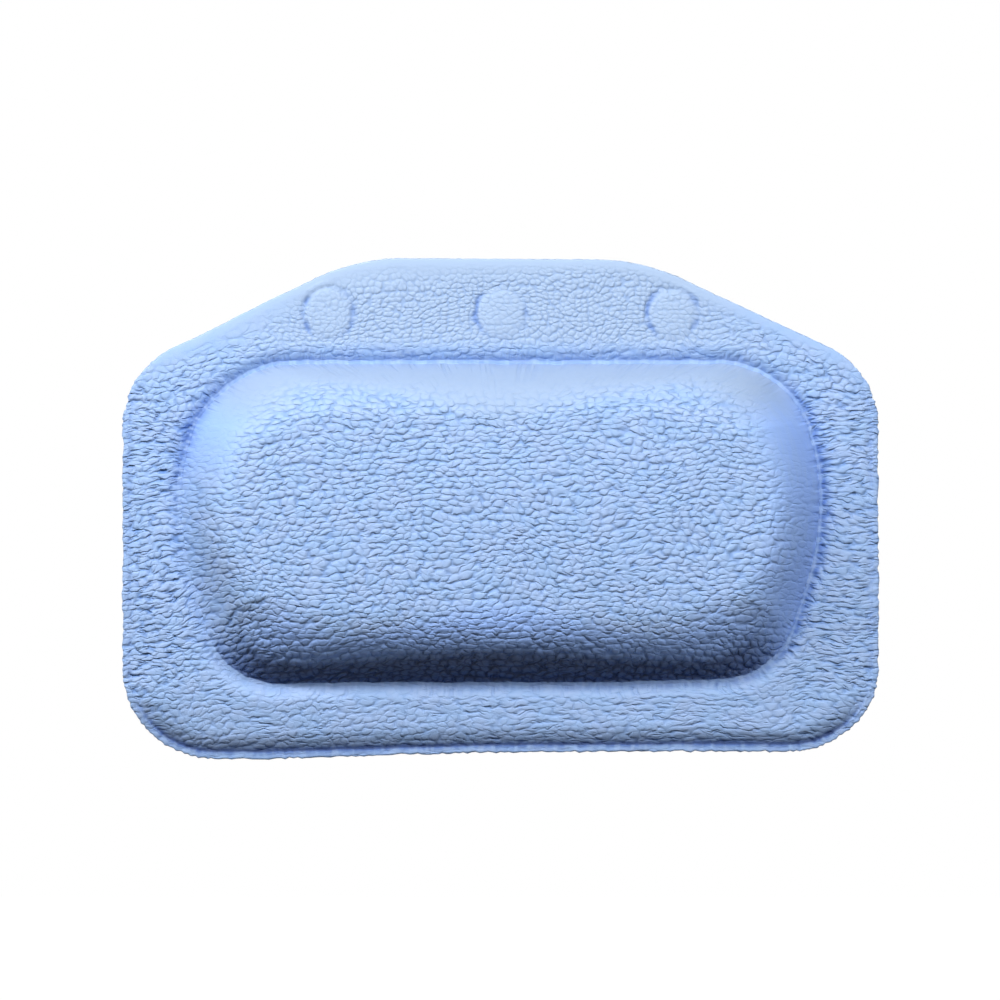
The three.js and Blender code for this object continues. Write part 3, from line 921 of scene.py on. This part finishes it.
def turned(name, profile, x):
    """A profile that begins and ends on its axis, turned about the axis of the cup at x."""
    rings = []
    for angle in np.arange(CUP_SIDES) * 2 * math.pi / CUP_SIDES:
        rings.append([(x + r * math.cos(angle), r * math.sin(angle), z) for r, z in profile[1:-1]])
    body = np.array(rings).transpose(1, 0, 2)
    first = body.shape[0] * CUP_SIDES
    numbers = numbered(body.shape[:2])
    faces = flipped(ring_faces(numbers).tolist())
    near_ring, far_ring = numbers[0].tolist(), numbers[-1].tolist()
    faces += [(first, b, a) for a, b in zip(near_ring, near_ring[1:] + near_ring[:1])]
    faces += [(first + 1, a, b) for a, b in zip(far_ring, far_ring[1:] + far_ring[:1])]
    ends = np.array([(x, 0, profile[0][1]), (x, 0, profile[-1][1])])
    return mesh_piece(name, upright(joined(body.reshape(-1, 3), ends)), faces)


def suction_cup(side, x):
    """The moulded cup: its hollow, thin lip, bell, collar, neck and mushroom head in one profile."""
    collar_top = -BACK_THICKNESS - SWIVEL_GAP
    bell_top = collar_top - COLLAR_HEIGHT
    lip_top = WALL_Z + CUP_LIP_THICKNESS
    head_base = WASHER_THICKNESS + SWIVEL_GAP
    head_top = head_base + HEAD_THICKNESS
    hollow_radius = CUP_RADIUS - CUP_LIP_WIDTH
    turns = np.linspace(0, math.pi / 2, CUP_STEPS + 1)
    hollow = [(hollow_radius * math.sin(t), WALL_Z + CAVITY_DEPTH * math.cos(t)) for t in turns]
    out_share, up_share = BELL_BEND_SHARES
    middle = np.array((CUP_RADIUS * out_share, lerp(lip_top, bell_top, up_share)))
    bell = bow(np.array((CUP_RADIUS, lip_top)), middle, np.array((COLLAR_RADIUS, bell_top)), CUP_STEPS)
    stem = [
        (COLLAR_RADIUS, collar_top),
        (NECK_RADIUS, collar_top),
        (NECK_RADIUS, head_base),
        (HEAD_RADIUS, head_base),
        (HEAD_RADIUS, head_base + HEAD_RIM_HEIGHT),
        (HEAD_TOP_RADIUS, head_top),
        (0, head_top),
    ]
    profile = hollow + [(CUP_RADIUS, WALL_Z)] + bell + stem
    return turned("cup_moulded_" + side, rounded_profile(profile, CUP_ROUNDING), x)


# Nodes


class Term:
    """The output of a node, which can be added, taken away and multiplied like a number."""

    def __init__(self, socket):
        self.socket = socket
        self.tree = socket.id_data

    def __add__(self, other):
        return calc("ADD", self, other)

    def __sub__(self, other):
        return calc("SUBTRACT", self, other)

    def __rsub__(self, other):
        return calc("SUBTRACT", other, self)

    def __mul__(self, other):
        return calc("MULTIPLY", self, other)


def feed(entry, value):
    """Gives an input of a node a plain value, or links it to a term."""
    if isinstance(value, Term):
        value.tree.links.new(value.socket, entry)
    else:
        entry.default_value = value


def add(tree, kind, inputs=None, **settings):
    """A new node with its settings and inputs."""
    node = tree.nodes.new(kind)
    for key, value in settings.items():
        setattr(node, key, value)
    for key, value in (inputs or {}).items():
        feed(node.inputs[key], value)
    return node


def term(kind, inputs, output=0, **settings):
    """The output of a new node, of whose inputs at least one is a term."""
    tree = next(value.tree for value in inputs.values() if isinstance(value, Term))
    return Term(add(tree, kind, inputs, **settings).outputs[output])


def calc(operation, *values):
    return term("ShaderNodeMath", dict(enumerate(values)), operation=operation)


def vector_calc(operation, *values):
    return term("ShaderNodeVectorMath", dict(enumerate(values)), operation=operation)


def part(vector, index):
    return term("ShaderNodeSeparateXYZ", {0: vector}, index)


def combined(x, y=0.0):
    return term("ShaderNodeCombineXYZ", {0: x, 1: y})


def clamped(value):
    return term("ShaderNodeClamp", {0: value})


def ramp(value, low, high):
    """Goes softly from 0 at low to 1 at high."""
    inputs = {"Value": value, "From Min": low, "From Max": high}
    return term("ShaderNodeMapRange", inputs, interpolation_type="SMOOTHSTEP")


def mixed(share, a, b):
    """From a, where the share is 0, to b, where it is 1."""
    return term("ShaderNodeMix", {0: share, 2: a, 3: b})


def noisy(place, scale, detail, output=0, dimensions="3D"):
    """Noise between about 0.2 and 0.8, with so many features to each unit of the place."""
    inputs = {"Vector": place, "Scale": scale, "Detail": detail, "Roughness": 0.5}
    return term("ShaderNodeTexNoise", inputs, output, noise_dimensions=dimensions)


def sized(place, size):
    """The place on the sheet, counted in widths and heights."""
    return vector_calc("MULTIPLY", place, (1 / size[0], 1 / size[1], 0))


def patches(place, size, detail=0.0, output=0):
    """Noise on the sheet in patches of a width and height."""
    return noisy(sized(place, size), 1.0, detail, output, "2D")


def streaky(read, size, detail=0.0):
    """Noise of a width along the cushion's seam and a length away from it."""
    across, away = 1 / size[0], 1 / size[1]
    return noisy(vector_calc("MULTIPLY", read("beside", True), (across, across, away)), 1.0, detail)


def cells(place, feature="DISTANCE_TO_EDGE", **inputs):
    """Distance to the edge of the nearest irregular cell of about one unit, or another feature."""
    inputs = {"Vector": place, "Scale": 1.0, "Randomness": PEBBLE_SCATTER, **inputs}
    return term("ShaderNodeTexVoronoi", inputs, "Distance", voronoi_dimensions="2D", feature=feature)


def domes(place, softness):
    """Height of irregular round domes, 1 at their tops, each filling about one unit of the place."""
    away = cells(place, "SMOOTH_F1", Smoothness=softness) * 1.3
    return 1.0 - away * away


def flat_place(place):
    """The place in the plane of the sheets."""
    return combined(part(place, 0), part(place, 2))


def bent(place, bends):
    """The place, pushed about by noise of a size as far as a reach, once for each bend."""
    for size, reach in bends:
        push = patches(place, (size, size), 1.0, "Color")
        centred = vector_calc("SUBTRACT", push, (0.5, 0.5, 0.5))
        scaled = vector_calc("MULTIPLY", centred, (2 * reach, 2 * reach, 0))
        place = vector_calc("ADD", place, scaled)
    return place


# Grain


def leaning(flat):
    """The place, sheared so that lines across the sheet rise to the right on its left half."""
    left = calc("MINIMUM", part(flat, 0) - LEAN_START, 0.0)
    return combined(part(flat, 0), part(flat, 1) + left * left * (1 / LEAN_LENGTH))


def in_rows(place, size):
    """The place in steps of one pebble, with every other row half a step to the side."""
    rows = part(place, 1) * (1 / size[1]) + 0.5
    other = ramp(calc("PINGPONG", rows, 1.0), 0.38, 0.62)
    return vector_calc("ADD", sized(place, size), combined(other * 0.5))


def level_rows(flat, blur):
    """Long level creases, wavering and broken: 0 between them, and down to -1 in their bottoms."""
    rows = part(bent(flat, ROW_BENDS), 1) * (1 / ROW[1])
    creases = ramp(calc("PINGPONG", rows, 0.5), 0.0, 0.2 * blur) - 1.0
    return creases * ramp(patches(flat, ROW), 0.42, 0.6)


def cobbles(placed, blur):
    """Rounded pebbles, one to each unit: 0 on their tops, and down to about -1 where they meet."""
    round_tops = ramp(domes(placed, 0.15 * blur), 0.2, 0.95) - 1.0
    creases = ramp(cells(placed), 0.0, 0.25 * blur) - 1.0
    return round_tops * 0.7 + creases * 0.28


def ring_lines(flat, blur):
    """The narrow lines of the round welds: strong at their left, weaker at their right, and faint
    above and below."""
    lines = 0.0
    begin, full = 0.4 * RING_RADIUS, 0.95 * RING_RADIUS
    for x in STATIONS.values():
        away = vector_calc("SUBTRACT", bent(flat, RING_BENDS), (x, 0, 0))
        radius = term("ShaderNodeVectorMath", {0: away}, "Value", operation="LENGTH")
        line = 1.0 - ramp(calc("ABSOLUTE", radius - RING_RADIUS), 0.0, RING_LINE * blur)
        left = ramp(part(away, 0), -begin, -full)
        right = ramp(part(away, 0), begin, full)
        strength = calc("MAXIMUM", left, right * 0.55)
        lines = calc("MAXIMUM", lines, line * mixed(strength, 0.12, 1.0))
    return lines * mixed(ramp(patches(flat, RING_PATCH), 0.35, 0.6), 0.3, 1.0)


def relief(place, read, blur):
    """Height of the grain, from about 0 on top of the pebbles down.
    read(name) gives a value of the mesh, and blur softens the creases for the mesh itself."""
    flat = bent(leaning(flat_place(place)), SHEET_BENDS)
    uneven = bent(flat, PEBBLE_BENDS)
    depth = ramp(patches(flat, DEPTH_PATCH), 0.3, 0.6)
    pebbles = cobbles(in_rows(uneven, PEBBLE), blur) * mixed(depth, 0.55, 1.1)
    waves = cobbles(in_rows(bent(flat, WAVE_BENDS), WAVE), blur)
    waves = waves * mixed(depth, 0.4, 1.2) + level_rows(flat, blur) * 0.8
    fine = cobbles(sized(uneven, FINE), 2.0 * blur) * 0.75

    change = (patches(flat, WAVE_PATCH) - 0.5) * 1.6
    wave_share = ramp(read("wave") + change, 0.4, 0.6)
    grain = mixed(read("fine"), mixed(wave_share, pebbles, waves), fine) * read("grain")
    total = grain - ring_lines(flat_place(place), blur) * 0.7

    gathers = ramp(streaky(read, GATHER), 0.3, 0.5) - 1.0
    here = ramp(patches(flat, GATHER_PATCH), 0.3, 0.6)
    return total + gathers * here * read("pucker") * 0.9


def press_grain(piece):
    """Presses the coarse part of the grain into the mesh itself, and leaves the rest to the material."""
    tree = bpy.data.node_groups.new("pressed_grain", "GeometryNodeTree")
    tree.interface.new_socket("Geometry", in_out="INPUT", socket_type="NodeSocketGeometry")
    tree.interface.new_socket("Geometry", in_out="OUTPUT", socket_type="NodeSocketGeometry")

    def source(kind, inputs=None, **settings):
        return Term(add(tree, kind, inputs, **settings).outputs[0])

    def read(name, is_vector=False):
        kind = "FLOAT_VECTOR" if is_vector else "FLOAT"
        return source("GeometryNodeInputNamedAttribute", {"Name": name}, data_type=kind)

    place = source("GeometryNodeInputPosition")
    height = relief(place, read, MESH_BLUR) * (GRAIN_DEPTH * MESH_GRAIN_SHARE)
    normal = source("GeometryNodeInputNormal")
    offset = term("ShaderNodeVectorMath", {0: normal, "Scale": height}, operation="SCALE")
    moved = term("GeometryNodeSetPosition", {"Geometry": source("NodeGroupInput"), "Offset": offset})
    feed(tree.nodes.new("NodeGroupOutput").inputs[0], moved)
    piece.modifiers.new("grain", "NODES").node_group = tree
    apply_modifiers(piece)


# Materials


def new_material(name):
    """A new material, and the place on the object that its nodes read."""
    material = bpy.data.materials.new(name)
    material.use_nodes = True
    return material, Term(add(material.node_tree, "ShaderNodeTexCoord").outputs["Object"])


def shade(material, looks, height=None):
    """Sets inputs of the material's shader, and roughens its surface by a height in metres."""
    shader = material.node_tree.nodes["Principled BSDF"]
    for key, value in looks.items():
        feed(shader.inputs[key], value)
    if height:
        bump = term("ShaderNodeBump", {"Height": height, "Distance": 1.0, "Strength": 1.0})
        feed(shader.inputs["Normal"], bump)
    return material


def mixed_colour(share, a, b):
    a, b = [colour if isinstance(colour, Term) else (*colour, 1) for colour in (a, b)]
    return term("ShaderNodeMix", {0: share, 6: a, 7: b}, 2, data_type="RGBA")


def front_material():
    """Foamed PVC with a pebbled grain: creases a little deeper in colour as painted shade, welds deeper
    still. Painted shade also darkens the cushion's foot and the bottom flange, painted sheen makes the flap
    and the cushion's upper wall paler, and painted reflected light makes the cushion's walls bluer.
    """
    material, place = new_material("foamed_pvc_front")

    def read(name, is_vector=False):
        node = add(material.node_tree, "ShaderNodeAttribute", attribute_name=name)
        return Term(node.outputs["Vector" if is_vector else "Fac"])

    height = relief(place, read, 1.0)
    flat = flat_place(place)
    full = height + patches(flat, MICRO_GRAIN, 2.0) * 0.12

    mottled = ramp(patches(flat, COLOUR_PATCH, 3.0), 0.3, 0.7)
    streaks = mixed(ramp(streaky(read, STREAK, 2.0), 0.35, 0.65), 0.8, 1.1)
    blotches = mixed(ramp(streaky(read, BLOTCH, 1.0), 0.35, 0.6), 0.2, 1.0)
    pressed = calc("MAXIMUM", read("pressed") * blotches, ring_lines(flat, 1.0) * 0.7)
    weld_colour_and_painted_light = [
        # Painted sheen on the flap and the cushion's upper wall
        (read("pale"), FRONT_COLOUR_PAINTED_SHEEN),
        # Painted shade, deeper with the depth of each crease
        (clamped(height * -0.36), FRONT_COLOUR_CREASE_SHADE),
        # Painted reflected light on the cushion's walls, in streaks
        (read("side") * streaks, FRONT_COLOUR_BOUNCE_LIGHT),
        (pressed, FRONT_COLOUR_PRESSED),
        # Painted shade at the cushion's foot and on the bottom flange, a little lighter on the pebbles' tops
        (read("painted_shade") * mixed(ramp(height, -0.7, 0.0), 1.0, 0.86), FRONT_COLOUR_PAINTED_SHADE),
    ]
    colour = mixed_colour(mottled, FRONT_COLOUR_COOL, FRONT_COLOUR_WARM)
    for share, tint in weld_colour_and_painted_light:
        colour = mixed_colour(share, colour, tint)
    looks = {
        "Base Color": colour,
        "Roughness": mottled * 0.06 + mixed(read("grain"), 0.72, 0.25),
        "Specular IOR Level": 0.14,
    }
    return shade(material, looks, full * (GRAIN_DEPTH * (1 - MESH_GRAIN_SHARE)))


def back_material():
    """Thinner and smoother PVC, with a fine matt grain."""
    material, place = new_material("smooth_pvc_back")
    flat = flat_place(place)
    fine = ramp(cells(sized(bent(flat, BACK_BENDS), BACK_GRAIN)), 0.0, 0.25)
    rippled = patches(flat, BACK_RIPPLE, 2.0)
    mottled = ramp(patches(flat, BACK_PATCH, 3.0), 0.3, 0.7)
    pressed = Term(add(material.node_tree, "ShaderNodeAttribute", attribute_name="pressed").outputs["Fac"])
    looks = {
        "Base Color": mixed_colour(pressed * 0.8, mixed_colour(mottled, *BACK_COLOURS), FRONT_COLOUR_PRESSED),
        "Roughness": mixed(fine, 0.55, 0.42),
        "Specular IOR Level": 0.4,
    }
    return shade(material, looks, fine * BACK_GRAIN_DEPTH + rippled * BACK_RIPPLE_DEPTH)


def foam_material():
    """Open polyurethane foam, cream and full of small pores, darker inside them as painted shade."""
    material, place = new_material("open_foam")
    pores = term("ShaderNodeTexVoronoi", {"Vector": place, "Scale": 1 / PORE_SIZE}, "Distance")
    wall = ramp(pores, 0.15, 0.5)
    # Painted shade: the colour is darker inside the pores
    looks = {"Base Color": mixed_colour(wall, *FOAM_COLOURS), "Roughness": mixed(wall, 1.0, 0.9)}
    return shade(material, looks, wall * PORE_DEPTH)


def washer_material():
    """Stiff milky PVC with a fine grain."""
    material, place = new_material("stiff_pvc_washer")
    grain = noisy(place, 1 / WASHER_GRAIN, 3.0)
    looks = {"Base Color": mixed_colour(grain, *WASHER_COLOURS), "Roughness": mixed(grain, 0.35, 0.5)}
    return shade(material, looks, grain * WASHER_GRAIN_DEPTH)


def cup_material():
    """Clear soft PVC, faintly blue, with flow marks and a dusty bloom."""
    material, place = new_material("clear_soft_pvc")
    marks = noisy(place, 1 / CUP_MARK, 4.0)
    looks = {
        "Base Color": mixed_colour(marks, *CUP_COLOURS),
        "Roughness": mixed(ramp(marks, 0.35, 0.65), 0.08, 0.2),
        "Transmission Weight": 0.75,
        "IOR": 1.5,
    }
    return shade(material, looks, marks * CUP_MARK_DEPTH)


def dress(piece, material, body, slot, *nodes):
    """Gives a piece its material and the body of the frame that it stands for, and hides that frame's nodes.
    The slot is not used.
    """
    piece.data.materials.clear()
    piece.data.materials.append(material)
    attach(piece, body)
    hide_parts(*nodes)
    return piece


# Studio


def make_camera():
    camera = new_object("camera", bpy.data.cameras.new("camera"))
    camera.data.angle = 2 * math.atan(PICTURE_WIDTH / 2 / CAMERA_DISTANCE)
    camera.location = (VIEW_X, WALL_Z - CAMERA_DISTANCE, VIEW_Z)
    camera.rotation_euler = (math.pi / 2, 0, 0)
    bpy.context.scene.camera = camera


def make_lamp(name, place, aim, size, power):
    data = bpy.data.lights.new(name, "AREA")
    data.shape = "RECTANGLE"
    data.size, data.size_y = size
    data.energy = power
    lamp = new_object(name, data)
    lamp.location = place
    lamp.rotation_euler = (Vector(aim) - Vector(place)).to_track_quat("-Z", "Y").to_euler()
    lamp.visible_camera = False


def seen_directly(tree):
    """1 for rays that show the surroundings themselves: from the camera, in gloss and through glass."""
    rays = add(tree, "ShaderNodeLightPath").outputs
    seen = [Term(rays[kind]) for kind in ("Is Camera Ray", "Is Glossy Ray", "Is Transmission Ray")]
    return clamped(seen[0] + seen[1] + seen[2])


def make_world():
    world = bpy.data.worlds.new("studio")
    world.use_nodes = True
    background = world.node_tree.nodes["Background"]
    background.inputs["Color"].default_value = (*WHITE, 1)
    feed(background.inputs["Strength"], mixed(seen_directly(world.node_tree), FILL_STRENGTH, 1.0))
    bpy.context.scene.world = world


def make_floor():
    """A wide, pale floor, well below the picture, which shows as the white of the surroundings."""
    corners = [(-1, -1), (1, -1), (1, 1), (-1, 1)]
    points = np.array([(x * FLOOR_SIZE / 2, y * FLOOR_SIZE / 2, FLOOR_Z) for x, y in corners])
    floor = mesh_piece("floor", points, [(0, 1, 2, 3)])
    material = new_material("pale_floor")[0]
    looks = {
        "Base Color": (*FLOOR_COLOUR, 1),
        "Roughness": 0.9,
        "Emission Color": (*WHITE, 1),
        "Emission Strength": seen_directly(material.node_tree) * FLOOR_STRENGTH,
    }
    floor.data.materials.append(shade(material, looks))


make_camera()
make_world()
make_floor()
for name, values in LAMPS.items():
    make_lamp(name, *values)

front = dress(front_cover(), front_material(), "pillow", "front_sheet", "front_cover")
press_grain(front)
dress(back_cover(), back_material(), "pillow", "back_sheet", "back_cover")
foam = dress(foam_core(), foam_material(), "pillow", "foam", "foam_core")
clear = cup_material()
stiff = washer_material()
for side, x in STATIONS.items():
    dress(suction_cup(side, x), clear, "cup_" + side, "cup", "suction_cup_" + side)
    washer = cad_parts["retaining_washer_" + side]
    washer.data.materials.clear()
    washer.data.materials.append(stiff)

bpy.context.scene.view_settings.view_transform = "Standard"
